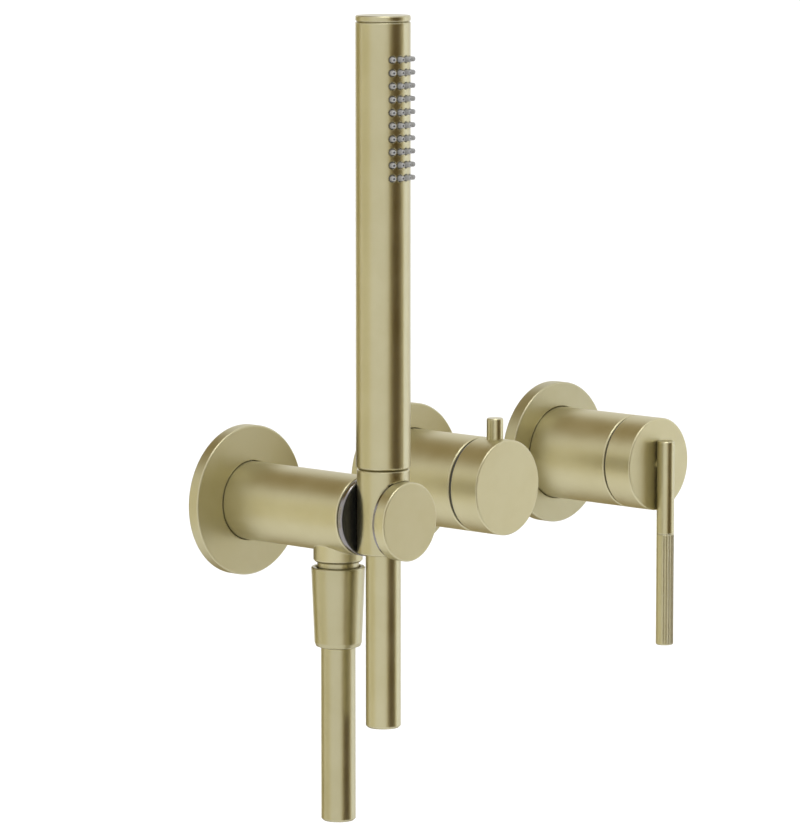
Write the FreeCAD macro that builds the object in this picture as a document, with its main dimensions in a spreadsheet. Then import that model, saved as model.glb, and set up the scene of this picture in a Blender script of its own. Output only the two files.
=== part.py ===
"""Wall mounted shower mixer with two outlets: wall outlet and handset holder on the left,
diverter control in the middle, mixing control with a lever on the right.

Frame: X runs along the wall to the right, Y runs into the wall, Z is up. The origin lies on the
diverter's axis in the plane of the finished wall. All sizes are in millimetres.
"""
import FreeCAD, Part
import os
import re
import Sketcher

os.makedirs("parts", exist_ok=True)

# Driving dimensions
SIZES = {
    # layout of the three units
    "unit_pitch": 102.0,            # from one unit's axis to the next
    "edge_break": 0.4,              # small chamfer on turned edges
    "running_fit": 0.05,            # radial clearance of a shaft in its hole
    "face_gap": 0.2,                # axial clearance between faces that turn on each other
    # rosettes
    "rosette_dia": 65.0,
    "rosette_plate": 2.4,           # front plate of a rosette
    "rosette_rim": 2.4,             # outer rim of a rosette
    "rosette_collar": 4.0,          # inner collar of a rosette
    "rosette_gap": 0.35,            # visible gap round what comes through the rosette
    "seal_groove": 1.2,             # groove in the collar for the seal ring
    "outlet_rosette_thk": 5.3,
    "valve_rosette_thk": 6.4,
    # wall outlet
    "outlet_dia": 33.9,
    "outlet_len": 71.9,
    "adapter_dia": 20.0,
    "adapter_bore": 12.0,
    "adapter_clear": 15.1,          # from the adapter's front end to the lower spigot's axis
    "adapter_collar_dia": 26.0,
    "adapter_collar": 3.0,
    "wall_thread_dia": 20.955,
    "wall_thread_len": 14.0,
    "ring_groove": 0.9,             # depth of an O-ring groove
    "ring_width": 1.3,              # width of an O-ring groove
    "rear_ring_step": 7.0,          # rear O-ring in front of the adapter's collar
    "front_ring_step": 3.5,         # front O-ring behind the adapter's front end
    "chamber_dia": 13.0,
    "grub_step": 11.0,              # grub screw behind the adapter's front end
    "grub_dia": 5.0,
    "grub_bevel": 0.7,              # chamfer round the grub screw's hole
    "grub_socket": 2.5,             # depth of the grub screw's key socket
    "grub_sink": 1.4,               # how deep the grub screw's head lies in its hole
    "spigot_inset": 14.8,           # lower spigot's axis behind the outlet's front face
    "boss_wall": 1.6,               # boss beyond the spigot's neck
    "boss_drop": 21.0,              # boss end below the outlet's axis
    "boss_chamfer": 0.9,
    "spigot_neck": 3.2,
    "neck_step": 0.95,              # hose thread beyond the neck
    "stem_step": 0.75,              # neck beyond the stem in the boss
    "spigot_stem": 11.0,
    "spigot_bore": 10.0,
    "spigot_thread": 11.5,
    "spigot_wall": 2.9,             # from the hose thread to the check valve
    "check_valve_len": 10.0,
    "check_valve_seat": 6.0,
    "check_valve_lip": 3.0,         # thickness of the seat
    "hose_washer": 2.0,
    "hose_washer_bore": 9.0,
    # conical hose nut and hose ends
    "cone_top_dia": 23.0,
    "cone_wall": 1.6,               # nut's wall round the hose thread
    "cone_len": 34.7,
    "cone_round": 2.2,
    "cone_end_flat": 0.35,          # flat ring at the nut's lower end
    "cone_overlap": 0.9,            # nut's top edge below the neck's shoulder
    "ferrule_clear": 0.5,           # from the ferrule's flange to the nut's thread
    "ferrule_flange": 2.6,
    "ferrule_bore": 8.6,
    "ferrule_tail": 35.0,
    "hose_dia": 14.8,
    "hose_wall": 1.2,
    "hose_step": 0.2,               # hose's bore beyond the ferrule's seat
    "hose_round": 0.8,
    "outlet_hose_end": 133.1,       # lower end of the outlet's hose sleeve
    # handset holder
    "holder_wall": 3.6,
    "rear_wall": 2.35,              # sleeve's wall at its rear flat
    "front_wall": 1.15,             # sleeve's wall at its front flat
    "holder_top": 21.4,
    "holder_drop": 14.6,
    "holder_groove": 0.6,           # chamfer on the sleeve's upper edge
    "bush_wall": 0.75,
    "bush_depth": 12.0,
    "disc_thk": 2.9,
    "disc_round": 0.6,
    "disc_pocket": 1.7,             # how deep the sleeve sits in the friction disc
    "pocket_gap": 0.2,              # side clearance of the sleeve in that pocket
    "pivot_dia": 5.0,
    "pivot_head_dia": 8.8,
    "pivot_head": 1.2,
    "pivot_floor": 1.8,             # wall between the pivot's thread and the water chamber
    "wave_washer_dia": 15.0,
    "wave_washer": 1.0,
    "front_washer": 1.1,
    "front_washer_dia": 32.6,
    "front_cap_dia": 33.4,
    "front_cap": 5.6,
    # handset
    "handset_dia": 23.1,
    "handset_wall": 1.3,
    "handset_top": 211.6,
    "handset_chamfer": 0.7,
    "cap_band": 2.1,
    "cap_groove": 0.7,
    "cap_groove_depth": 0.5,
    "groove_break": 0.25,           # chamfer on both edges of that groove
    "cap_plug": 5.0,
    "connector_len": 14.0,
    "connector_bore": 7.0,
    "connector_stem": 23.6,
    "swivel_ring_drop": 8.3,        # upper O-ring of the swivel below the tube's foot
    "swivel_ring_pitch": 7.0,
    "filter_dia": 14.0,
    "filter_thk": 1.6,
    "filter_hole": 1.0,
    "filter_holes": 6,
    "filter_ring": 1.6,             # from the filter's axis to its holes
    "waterway_wall": 2.05,
    "waterway_slot": 6.5,
    "waterway_collar": 5.0,
    "strip_wall": 1.7,
    "strip_edge": 14.0,             # angle from the outer columns to the strip's edges
    "strip_margin": 4.5,            # strip beyond its first and last row of nozzles
    "nozzle_rows": 10,
    "nozzle_columns": 4,
    "nozzle_drop": 18.0,            # highest row of nozzles below the handset's top
    "nozzle_pitch": 5.47,
    "nozzle_angle": 18.5,           # between two columns
    "nozzle_dia": 2.4,
    "nozzle_tip_dia": 2.0,
    "nozzle_round": 0.3,            # bevel at a nozzle's tip
    "nozzle_jet_dia": 0.8,
    "nozzle_stand": 2.2,            # how far a nozzle stands out of the tube
    "nozzle_clear": 0.3,            # gap round a nozzle in its hole
    "nozzle_sink": 0.15,            # chamfer round a nozzle's hole
    "handset_hose_dia": 14.9,
    "handset_hose_wall": 1.2,
    "handset_hose_end": 89.2,
    "holder_slide_fit": 0.1,
    "handset_ferrule_len": 32.0,
    "clip_thk": 1.0,
    "clip_drop": 1.0,               # swivel clip's height above the stem's end
    # valves
    "sleeve_dia": 42.2,
    "sleeve_wall": 1.7,
    "sleeve_front": 3.0,
    "barrel_gap": 2.4,              # between barrel and sleeve, bridged by the O-rings
    "barrel_room": 6.5,             # from the barrel's end to the sleeve's front wall
    "barrel_wall": 3.0,
    "barrel_step": 2.0,             # barrel beyond its wall thread
    "barrel_shoulder": 2.4,         # from the wall to the barrel's full diameter
    "barrel_thread_len": 14.0,
    "barrel_floor": 4.0,
    "barrel_port": 12.0,
    "barrel_lip": 1.0,              # barrel's end in front of the ring nut
    "ring_nut": 6.0,
    "ring_nut_wall": 5.0,
    "spindle_dia": 8.0,
    "spindle_root": 10.0,
    "sleeve_ring_rear": 12.0,
    "sleeve_ring_step": 6.0,        # front O-ring behind the barrel's end
    "glide_lip": 0.9,               # sleeve's edge outside the glide ring
    "glide_width": 5.2,
    "glide_sink": 1.0,
    "hub_dia": 15.0,
    "hub_gap": 1.5,
    "hub_reach": 6.0,
    "knob_rim": 2.6,
    "knob_floor": 4.8,              # knob's front wall before the spindle's end
    "recess_depth": 3.0,
    "screw_dia": 4.0,
    "screw_len": 8.0,
    "socket_flats": 2.0,
    # diverter knob
    "diverter_split": 47.5,         # sleeve's front from the wall
    "diverter_split_gap": 1.2,
    "diverter_knob_len": 15.0,
    "pin_dia": 7.3,
    "pin_sink": 8.1,
    "pin_stand": 9.2,
    # mixer cap and lever
    "mixer_split": 50.7,            # sleeve's front from the wall
    "mixer_split_gap": 0.7,
    "mixer_cap_len": 14.5,
    "lever_dia": 8.0,
    "lever_gap": 0.1,
    "lever_top": 11.0,
    "lever_drop": 82.6,
    "grip_len": 51.2,
    "core_dia": 5.0,
    "grip_floor": 3.0,
    "flute_count": 7,
    "flute_angle": 18.0,            # between two flutes
    "flute_dia": 0.8,
    "flute_margin": 0.5,            # from the flutes' upper ends to the grip's top edge
    "stud_dia": 4.0,
    "stud_floor": 0.8,              # cap's wall between the spindle's end and the stud
    "stud_wall": 1.2,
}

# Sizes that follow from the ones above
FITS = {
    "spigot_dist": "outlet_len - spigot_inset",
    "adapter_reach": "spigot_dist - adapter_clear",
    "adapter_ring_rear": "adapter_collar + rear_ring_step",
    "adapter_ring_front": "adapter_reach - front_ring_step",
    "grub_dist": "adapter_reach - grub_step",
    "spigot_thread_dia": "cone_top_dia - 2 * cone_wall",
    "spigot_neck_dia": "spigot_thread_dia - 2 * neck_step",
    "spigot_stem_dia": "spigot_neck_dia - 2 * stem_step",
    "boss_dia": "spigot_neck_dia + 2 * boss_wall",
    "check_valve_dia": "spigot_thread_dia - 2 * spigot_wall",
    "ferrule_flange_dia": "spigot_thread_dia - 2 * ferrule_clear",
    "cone_end_dia": "hose_dia + 2 * (face_gap + cone_end_flat + cone_round)",
    "holder_bore": "handset_hose_dia + 2 * holder_slide_fit",
    "holder_dia": "holder_bore + 2 * holder_wall",
    "bush_dia": "holder_bore + 2 * bush_wall",
    "rear_flat": "holder_bore / 2 + rear_wall",
    "front_flat": "holder_bore / 2 + front_wall",
    "handset_dist": "outlet_len + face_gap + disc_thk - disc_pocket + rear_flat",
    "front_face": "handset_dist + front_flat",
    "front_plug_dia": "pivot_head_dia + 2 * face_gap",
    "connector_stem_dia": "handset_hose_dia - 2 * (handset_hose_wall + running_fit)",
    "waterway_bore": "handset_dia - 2 * (handset_wall + strip_wall + waterway_wall)",
    "strip_angle": "nozzle_angle * (nozzle_columns - 1) + 2 * strip_edge",
    "barrel_dia": "sleeve_dia - 2 * (sleeve_wall + barrel_gap)",
    "barrel_thread_dia": "barrel_dia - 2 * barrel_step",
    "cartridge_dia": "barrel_dia - 2 * barrel_wall",
    "sleeve_hole_dia": "hub_dia + 2 * hub_gap",
    "glide_dia": "sleeve_dia - 2 * glide_lip",
    "glide_bore": "glide_dia - 2 * glide_width",
    "recess_dia": "sleeve_dia - 2 * knob_rim",
    "diverter_front": "diverter_split + diverter_split_gap + diverter_knob_len",
    "mixer_front": "mixer_split + mixer_split_gap + mixer_cap_len",
    "pin_root": "sleeve_dia / 2 - pin_sink",
    "pin_top": "sleeve_dia / 2 + pin_stand",
}

doc = FreeCAD.newDocument("shower_mixer")
sheet = doc.addObject("Spreadsheet::Sheet", "size")
CELLS = {name: str(number) for name, number in SIZES.items()}
CELLS.update({name: f"={rule}" for name, rule in FITS.items()})
for row, (name, content) in enumerate(CELLS.items(), start=1):
    sheet.set(f"A{row}", name)
    sheet.set(f"B{row}", content)
    sheet.setAlias(f"B{row}", name)
doc.recompute()

PARTS = []


# Helpers for sketches and features
def bound(text):
    """Expression text with the sheet's name put before each alias."""
    return re.sub(r"[a-z_]+", lambda found: f"size.{found[0]}" if found[0] in CELLS else found[0], text)


def value(text):
    """Present value of an expression in the sheet's aliases."""
    return float(sheet.evalExpression(bound(text)))


def origin_plane(body, role):
    return [feature for feature in body.Origin.OriginFeatures if feature.Role == role][0]


def place(part, base, out_of_wall):
    """Bind a part's position; local Z points out of the wall or up."""
    turn = FreeCAD.Rotation(FreeCAD.Vector(1, 0, 0), 90 if out_of_wall else 0)
    start = FreeCAD.Vector(*[value(text) for text in base])
    part.Placement = FreeCAD.Placement(start, turn)
    for letter, text in zip("xyz", base):
        if text != "0":
            part.setExpression(f"Placement.Base.{letter}", bound(text))


def new_body(label, base, out_of_wall=False):
    body = doc.addObject("PartDesign::Body", label)
    body.Label = label
    place(body, base, out_of_wall)
    PARTS.append(body)
    return body


def new_sketch(body, role):
    sketch = body.newObject("Sketcher::SketchObject", "Sketch")
    sketch.AttachmentSupport = [(origin_plane(body, role), "")]
    sketch.MapMode = "FlatFace"
    return sketch


def pin_point(sketch, item, end, corner):
    """Bind one point of a sketch to a pair of expressions."""
    for kind, axis, text in (("DistanceX", -2, corner[0]), ("DistanceY", -1, corner[1])):
        if text == "0":
            sketch.addConstraint(Sketcher.Constraint("PointOnObject", item, end, axis))
        else:
            rule = Sketcher.Constraint(kind, -1, 1, item, end, value(text))
            number = sketch.addConstraint(rule)
            sketch.setExpression(f"Constraints[{number}]", bound(text))


def outline(sketch, corners):
    """Closed outline of straight lines through the corners."""
    points = [FreeCAD.Vector(value(x), value(y), 0) for x, y in corners]
    count = len(points)
    for item in range(count):
        sketch.addGeometry(Part.LineSegment(points[item], points[(item + 1) % count]), False)
    for item in range(count):
        sketch.addConstraint(Sketcher.Constraint("Coincident", item, 2, (item + 1) % count, 1))
    for item, corner in enumerate(corners):
        pin_point(sketch, item, 1, corner)


def circle(sketch, centre, radius):
    middle = FreeCAD.Vector(value(centre[0]), value(centre[1]), 0)
    item = sketch.addGeometry(Part.Circle(middle, FreeCAD.Vector(0, 0, 1), value(radius)), False)
    pin_point(sketch, item, 3, centre)
    number = sketch.addConstraint(Sketcher.Constraint("Radius", item, value(radius)))
    sketch.setExpression(f"Constraints[{number}]", bound(radius))


def hexagon(sketch, centre, flats):
    """Hexagon of a key socket, given by its width across flats."""
    corners = []
    for corner in range(6):
        angle = 60 * corner
        across = f"({centre[0]}) + {flats} / sqrt(3) * cos({angle} deg)"
        along = f"({centre[1]}) + {flats} / sqrt(3) * sin({angle} deg)"
        corners.append((across, along))
    outline(sketch, corners)


def turned(body, corners, role="XZ_Plane", axis=None, cut=False):
    """Turn an outline round the local Z axis, or round a line given by two points."""
    sketch = new_sketch(body, role)
    outline(sketch, corners)
    reference = "V_Axis"
    if axis:
        ends = [FreeCAD.Vector(value(x), value(y), 0) for x, y in axis]
        item = sketch.addGeometry(Part.LineSegment(*ends), True)
        pin_point(sketch, item, 1, axis[0])
        pin_point(sketch, item, 2, axis[1])
        reference = "Axis0"
    feature = body.newObject("PartDesign::Groove" if cut else "PartDesign::Revolution", "Turned")
    feature.Profile = sketch
    feature.ReferenceAxis = (sketch, [reference])
    feature.Angle = 360
    check_cut(body, feature, cut)
    return feature


def check_cut(body, feature, cut):
    """Recompute, and make sure that a cut takes material away."""
    doc.recompute()
    if cut and not feature.Shape.Volume < feature.BaseFeature.Shape.Volume - 1e-6:
        raise RuntimeError(f"{body.Label}: {feature.Label} cuts nothing")


def cut_along(body, role, length=None, reverse=False, both_ways=False, offset=None):
    """Pocket that follows a sketch on an origin plane; the caller draws the sketch."""
    sketch = new_sketch(body, role)
    if offset:
        sketch.setExpression("AttachmentOffset.Base.z", bound(offset))
    pocket = body.newObject("PartDesign::Pocket", "Pocket")
    pocket.Profile = sketch
    pocket.Reversed = reverse
    if length:
        pocket.setExpression("Length", bound(length))
        pocket.Midplane = both_ways
    else:
        pocket.Type = "ThroughAll"
        pocket.Midplane = both_ways
    return sketch, pocket


def ring_outline(inner, outer, low, high):
    """Plain ring of rectangular section."""
    return [(inner, low), (outer, low), (outer, high), (inner, high)]


def broken_ring(inner, outer, low, high, break_low="edge_break", break_high="edge_break"):
    """Ring whose two outer edges are chamfered."""
    return [
        (inner, low),
        (f"{outer} - {break_low}", low),
        (outer, f"{low} + {break_low}"),
        (outer, f"{high} - {break_high}"),
        (f"{outer} - {break_high}", high),
        (inner, high),
    ]


def hose_outline(seat, outer, low, step, high):
    """Hose sleeve: the hose's bore below the step, the ferrule's seat above it."""
    bore = f"({seat} + hose_step)"
    ring = broken_ring(bore, outer, low, high, "hose_round", "edge_break")
    return ring[:-1] + [(seat, high), (seat, step), (bore, step)]


def ring_piece(label, base, corners, out_of_wall=False):
    body = new_body(label, base, out_of_wall)
    turned(body, corners)
    return body


def seal_rings(label, base, heights, floor, wall, out_of_wall=False):
    """One or more equal O-rings between a groove's floor and the wall round it."""
    rings = []
    for height in heights:
        ring = doc.addObject("Part::Torus", "Ring")
        ring.setExpression("Radius1", bound(f"(({floor}) + ({wall})) / 2"))
        ring.setExpression("Radius2", bound(f"(({wall}) - ({floor})) / 2"))
        ring.setExpression("Placement.Base.z", bound(height))
        rings.append(ring)
    group = doc.addObject("Part::Compound", label)
    group.Label = label
    group.Links = rings
    place(group, base, out_of_wall)
    PARTS.append(group)


LEFT = ("-unit_pitch", "0", "0")
MIDDLE = ("0", "0", "0")
RIGHT = ("unit_pitch", "0", "0")
HANDSET = ("-unit_pitch", "-handset_dist", "0")
SPIGOT = ("-unit_pitch", "-spigot_dist", "0")


# Rosette and its seal ring, the same on every unit
def rosette(unit, base, thickness, passing_dia):
    hole = f"{passing_dia} / 2 + rosette_gap"
    groove = f"{hole} + seal_groove"
    groove_width = "seal_groove + rosette_gap"
    middle = f"{thickness} / 2"
    body = new_body(f"{unit}_rosette", base, out_of_wall=True)
    turned(body, [
        (hole, "edge_break"),
        (f"{hole} + rosette_collar", "edge_break"),
        (f"{hole} + rosette_collar", f"{thickness} - rosette_plate"),
        ("rosette_dia / 2 - rosette_rim", f"{thickness} - rosette_plate"),
        ("rosette_dia / 2 - rosette_rim", "0"),
        ("rosette_dia / 2", "0"),
        ("rosette_dia / 2", f"{thickness} - edge_break"),
        ("rosette_dia / 2 - edge_break", thickness),
        (hole, thickness),
        (hole, f"{middle} + ({groove_width}) / 2"),
        (groove, f"{middle} + ({groove_width}) / 2"),
        (groove, f"{middle} - ({groove_width}) / 2"),
        (hole, f"{middle} - ({groove_width}) / 2"),
    ])
    seal_rings(f"{unit}_rosette_seal", base, [middle], f"{passing_dia} / 2", groove, out_of_wall=True)


# Wall outlet
def outlet_unit():
    rosette("outlet", LEFT, "outlet_rosette_thk", "outlet_dia")

    # Adapter: wall thread, collar and long spigot with two O-ring grooves and a grub screw groove
    body = new_body("outlet_wall_adapter", LEFT, out_of_wall=True)
    turned(body, [
        ("adapter_bore / 2", "-wall_thread_len"),
        ("wall_thread_dia / 2 - edge_break", "-wall_thread_len"),
        ("wall_thread_dia / 2", "edge_break - wall_thread_len"),
        ("wall_thread_dia / 2", "0"),
        ("adapter_collar_dia / 2", "0"),
        ("adapter_collar_dia / 2", "adapter_collar"),
        ("adapter_dia / 2", "adapter_collar"),
        ("adapter_dia / 2", "adapter_reach"),
        ("adapter_bore / 2", "adapter_reach"),
    ])
    groove_floor = "adapter_dia / 2 - ring_groove"
    for middle in ("adapter_ring_rear", "adapter_ring_front", "grub_dist"):
        half = "(grub_dia / 2 + edge_break)" if middle == "grub_dist" else "ring_width / 2"
        turned(body, ring_outline(groove_floor, "adapter_dia / 2 + edge_break",
                                  f"{middle} - {half}", f"{middle} + {half}"), cut=True)
    bore = "(adapter_dia / 2 + running_fit)"
    seal_rings("outlet_adapter_rings", LEFT, ["adapter_ring_rear", "adapter_ring_front"],
               groove_floor, bore, out_of_wall=True)

    # Body: plain cylinder with a boss underneath, bored from the rear, recessed in front
    pivot_foot = "(spigot_dist + spigot_bore / 2 + pivot_floor)"
    body = new_body("outlet_body", LEFT, out_of_wall=True)
    turned(body, broken_ring("0", "outlet_dia / 2", "face_gap", "outlet_len"))
    turned(body, [
        ("-outlet_dia / 4", "spigot_dist"),
        ("-outlet_dia / 4", "spigot_dist + boss_dia / 2"),
        ("boss_chamfer - boss_drop", "spigot_dist + boss_dia / 2"),
        ("-boss_drop", "spigot_dist + boss_dia / 2 - boss_chamfer"),
        ("-boss_drop", "spigot_dist"),
    ], role="YZ_Plane", axis=[("-outlet_dia / 4", "spigot_dist"), ("-boss_drop", "spigot_dist")])
    turned(body, [
        ("0", "0"),
        ("adapter_collar_dia / 2 + face_gap", "0"),
        ("adapter_collar_dia / 2 + face_gap", "adapter_collar + face_gap"),
        (bore, "adapter_collar + face_gap"),
        (bore, "adapter_reach + face_gap"),
        ("chamber_dia / 2", "adapter_reach + face_gap"),
        ("chamber_dia / 2", "spigot_dist + spigot_bore / 2"),
        ("0", "spigot_dist + spigot_bore / 2"),
    ], cut=True)
    turned(body, [
        ("0", "spigot_dist"),
        ("0", "spigot_dist + spigot_bore / 2"),
        ("spigot_stem - boss_drop", "spigot_dist + spigot_bore / 2"),
        ("spigot_stem - boss_drop", "spigot_dist + spigot_stem_dia / 2"),
        ("-boss_drop - edge_break", "spigot_dist + spigot_stem_dia / 2"),
        ("-boss_drop - edge_break", "spigot_dist"),
    ], role="YZ_Plane", axis=[("0", "spigot_dist"), ("-boss_drop", "spigot_dist")], cut=True)
    sketch, pocket = cut_along(body, "XZ_Plane", reverse=True)
    circle(sketch, ("0", "grub_dist"), "grub_dia / 2")
    check_cut(body, pocket, cut=True)
    turned(body, [
        ("grub_bevel - outlet_dia / 2", "grub_dist"),
        ("grub_bevel - outlet_dia / 2", "grub_dist + grub_dia / 2"),
        ("-outlet_dia / 2 - edge_break", "grub_dist + grub_dia / 2 + grub_bevel + edge_break"),
        ("-outlet_dia / 2 - edge_break", "grub_dist"),
    ], role="YZ_Plane", axis=[("0", "grub_dist"), ("-outlet_dia / 2", "grub_dist")], cut=True)
    turned(body, ring_outline("0", "wave_washer_dia / 2 + face_gap",
                              "outlet_len - wave_washer", "outlet_len + edge_break"), cut=True)
    turned(body, ring_outline("0", "pivot_dia / 2",
                              pivot_foot, "outlet_len"), cut=True)

    # Grub screw with a key socket, bearing on the adapter's groove
    body = new_body("outlet_grub_screw", ("-unit_pitch", "-grub_dist", "0"))
    turned(body, broken_ring("0", "grub_dia / 2", "-outlet_dia / 2 + grub_sink",
                             f"-({groove_floor})", "edge_break / 2", "edge_break"))
    sketch, pocket = cut_along(body, "XY_Plane", length="grub_socket", reverse=True,
                               offset="grub_sink - outlet_dia / 2")
    hexagon(sketch, ("0", "0"), "grub_dia / 2")
    check_cut(body, pocket, cut=True)

    # Lower spigot: stem in the boss, visible neck and hose thread
    neck_end = "(boss_drop + spigot_neck)"
    thread_end = "(boss_drop + spigot_neck + spigot_thread)"
    ring_piece("outlet_spigot", SPIGOT, [
        ("spigot_bore / 2", "spigot_stem - boss_drop"),
        ("spigot_stem_dia / 2", "spigot_stem - boss_drop"),
        ("spigot_stem_dia / 2", "-boss_drop"),
        ("spigot_neck_dia / 2", "-boss_drop"),
        ("spigot_neck_dia / 2", f"-{neck_end}"),
        ("spigot_thread_dia / 2", f"-{neck_end} - edge_break"),
        ("spigot_thread_dia / 2", f"-{thread_end}"),
        ("check_valve_dia / 2", f"-{thread_end}"),
        ("check_valve_dia / 2", f"check_valve_len - {thread_end}"),
        ("spigot_bore / 2", f"check_valve_len - {thread_end}"),
    ])
    ring_piece("outlet_check_valve", SPIGOT, [
        ("check_valve_seat / 2", f"check_valve_len - {thread_end}"),
        ("check_valve_seat / 2", f"check_valve_len - check_valve_lip - {thread_end}"),
        ("spigot_bore / 2", f"check_valve_len - check_valve_lip - {thread_end}"),
        ("spigot_bore / 2", f"-{thread_end}"),
        ("check_valve_dia / 2", f"-{thread_end}"),
        ("check_valve_dia / 2", f"check_valve_len - {thread_end}"),
    ])
    washer_end = f"({thread_end} + hose_washer)"
    flange_end = f"({washer_end} + ferrule_flange)"
    ring_piece("outlet_hose_washer", SPIGOT,
               ring_outline("hose_washer_bore / 2", "ferrule_flange_dia / 2",
                            f"-{washer_end}", f"-{thread_end}"))

    # Conical nut over the thread; its inner shoulder carries the ferrule's flange
    cone_top = "-(boss_drop + spigot_neck - cone_overlap)"
    cone_end = f"({cone_top} - cone_len)"
    cone_bevel = "cone_round * (1 - cos(45 deg))"
    shoulder = f"(-{flange_end} - face_gap)"
    ring_piece("cone_nut", SPIGOT, [
        ("hose_dia / 2 + face_gap", cone_end),
        ("cone_end_dia / 2 - cone_round", cone_end),
        (f"cone_end_dia / 2 - {cone_bevel}", f"{cone_end} + {cone_bevel}"),
        ("cone_end_dia / 2", f"{cone_end} + cone_round"),
        ("cone_top_dia / 2", f"{cone_top} - edge_break"),
        ("cone_top_dia / 2 - edge_break", cone_top),
        ("spigot_thread_dia / 2", cone_top),
        ("spigot_thread_dia / 2", shoulder),
        ("hose_dia / 2 + face_gap", shoulder),
    ])

    # Hose end: ferrule and outer sleeve, free to turn in the nut
    hose_bore = "(hose_dia / 2 - hose_wall)"
    tail_end = f"({flange_end} + ferrule_tail)"
    ring_piece("outlet_hose_ferrule", SPIGOT, [
        ("ferrule_bore / 2", f"-{washer_end} - face_gap"),
        ("ferrule_flange_dia / 2", f"-{washer_end} - face_gap"),
        ("ferrule_flange_dia / 2", f"-{flange_end}"),
        (hose_bore, f"-{flange_end}"),
        (hose_bore, f"-{tail_end}"),
        ("ferrule_bore / 2", f"-{tail_end}"),
    ])
    ring_piece("outlet_hose_sleeve", SPIGOT,
               hose_outline(hose_bore, "hose_dia / 2", "-outlet_hose_end", f"-{tail_end}", f"-{flange_end}"))


# Handset holder, which swivels on the front of the wall outlet
def holder_unit():
    disc_rear = "(outlet_len + face_gap)"
    disc_front = "(outlet_len + face_gap + disc_thk)"
    bore = "(holder_bore / 2)"
    seat = f"({bore} + face_gap + pivot_head)"
    pivot_foot = "(spigot_dist + spigot_bore / 2 + pivot_floor + edge_break)"

    ring_piece("holder_wave_washer", LEFT,
               ring_outline("pivot_dia / 2 + face_gap", "wave_washer_dia / 2",
                            "outlet_len - wave_washer", "outlet_len"), out_of_wall=True)
    ring_piece("holder_pivot_screw", LEFT, [
        ("0", pivot_foot),
        ("pivot_dia / 2", pivot_foot),
        ("pivot_dia / 2", f"handset_dist - {seat} + running_fit"),
        ("pivot_head_dia / 2", f"handset_dist - {seat} + running_fit"),
        ("pivot_head_dia / 2", f"handset_dist - {bore} - face_gap"),
        ("0", f"handset_dist - {bore} - face_gap"),
    ], out_of_wall=True)

    # Friction disc with a pocket for the sleeve's rear
    body = new_body("friction_disc", LEFT, out_of_wall=True)
    turned(body, broken_ring("pivot_dia / 2 + running_fit", "outlet_dia / 2", disc_rear, disc_front,
                             "disc_round", "disc_round"))
    inner = "(sqrt((holder_dia / 2) ^ 2 - rear_flat ^ 2) + pocket_gap)"
    outer = f"(sqrt((holder_dia / 2) ^ 2 - (handset_dist - {disc_front}) ^ 2) + pocket_gap)"
    sketch, pocket = cut_along(body, "XZ_Plane", length="holder_drop")
    outline(sketch, [
        (f"-{inner}", "handset_dist - rear_flat"),
        (inner, "handset_dist - rear_flat"),
        (outer, disc_front),
        (outer, f"{disc_front} + face_gap"),
        (f"-{outer}", f"{disc_front} + face_gap"),
        (f"-{outer}", disc_front),
    ])
    pocket.Type2 = "ThroughAll"
    pocket.SideType = "Two sides"
    pocket.Reversed = True
    check_cut(body, pocket, cut=True)

    # Sleeve: bore for the hose end, seat for the bush, flat against the disc, spot face for the cap
    body = new_body("holder_sleeve", HANDSET)
    turned(body, [
        (bore, "-holder_drop"),
        ("holder_dia / 2 - edge_break", "-holder_drop"),
        ("holder_dia / 2", "edge_break - holder_drop"),
        ("holder_dia / 2", "holder_top - holder_groove"),
        ("holder_dia / 2 - holder_groove", "holder_top"),
        ("bush_dia / 2", "holder_top"),
        ("bush_dia / 2", "holder_top - bush_depth"),
        (bore, "holder_top - bush_depth"),
    ])
    sketch, pocket = cut_along(body, "XY_Plane", both_ways=True)
    outline(sketch, [
        ("-holder_dia", "rear_flat"),
        ("holder_dia", "rear_flat"),
        ("holder_dia", "holder_dia"),
        ("-holder_dia", "holder_dia"),
    ])
    check_cut(body, pocket, cut=True)
    sketch, pocket = cut_along(body, "XZ_Plane", reverse=True, offset="front_flat")
    circle(sketch, ("0", "0"), "front_cap_dia / 2 + face_gap")
    check_cut(body, pocket, cut=True)
    sketch, pocket = cut_along(body, "XZ_Plane")
    circle(sketch, ("0", "0"), "pivot_dia / 2 + running_fit")
    check_cut(body, pocket, cut=True)
    sketch, pocket = cut_along(body, "XZ_Plane", length=seat)
    circle(sketch, ("0", "0"), "pivot_head_dia / 2 + face_gap / 2")
    check_cut(body, pocket, cut=True)
    sketch, pocket = cut_along(body, "XZ_Plane", reverse=True)
    circle(sketch, ("0", "0"), "front_plug_dia / 2")
    check_cut(body, pocket, cut=True)

    ring_piece("holder_bush", HANDSET,
               ring_outline(bore, "bush_dia / 2", "holder_top - bush_depth", "holder_top"))
    ring_piece("holder_front_washer", LEFT,
               ring_outline("front_plug_dia / 2", "front_washer_dia / 2", "front_face",
                            "front_face + front_washer"), out_of_wall=True)
    ring_piece("holder_front_cap", LEFT, [
        ("0", f"handset_dist + {bore} + face_gap"),
        ("front_plug_dia / 2", f"handset_dist + {bore} + face_gap"),
        ("front_plug_dia / 2", "front_face + front_washer"),
        ("front_cap_dia / 2 - edge_break", "front_face + front_washer"),
        ("front_cap_dia / 2", "front_face + front_washer + edge_break"),
        ("front_cap_dia / 2", "front_face + front_washer + front_cap - edge_break"),
        ("front_cap_dia / 2 - edge_break", "front_face + front_washer + front_cap"),
        ("0", "front_face + front_washer + front_cap"),
    ], out_of_wall=True)


# Nozzles: bodies whose local X axis points to the front, with rows up and columns round the tube
def nozzle_body(label):
    body = new_body(label, HANDSET)
    body.Placement.Rotation = FreeCAD.Rotation(FreeCAD.Vector(0, 0, 1), -90)
    return body


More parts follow.
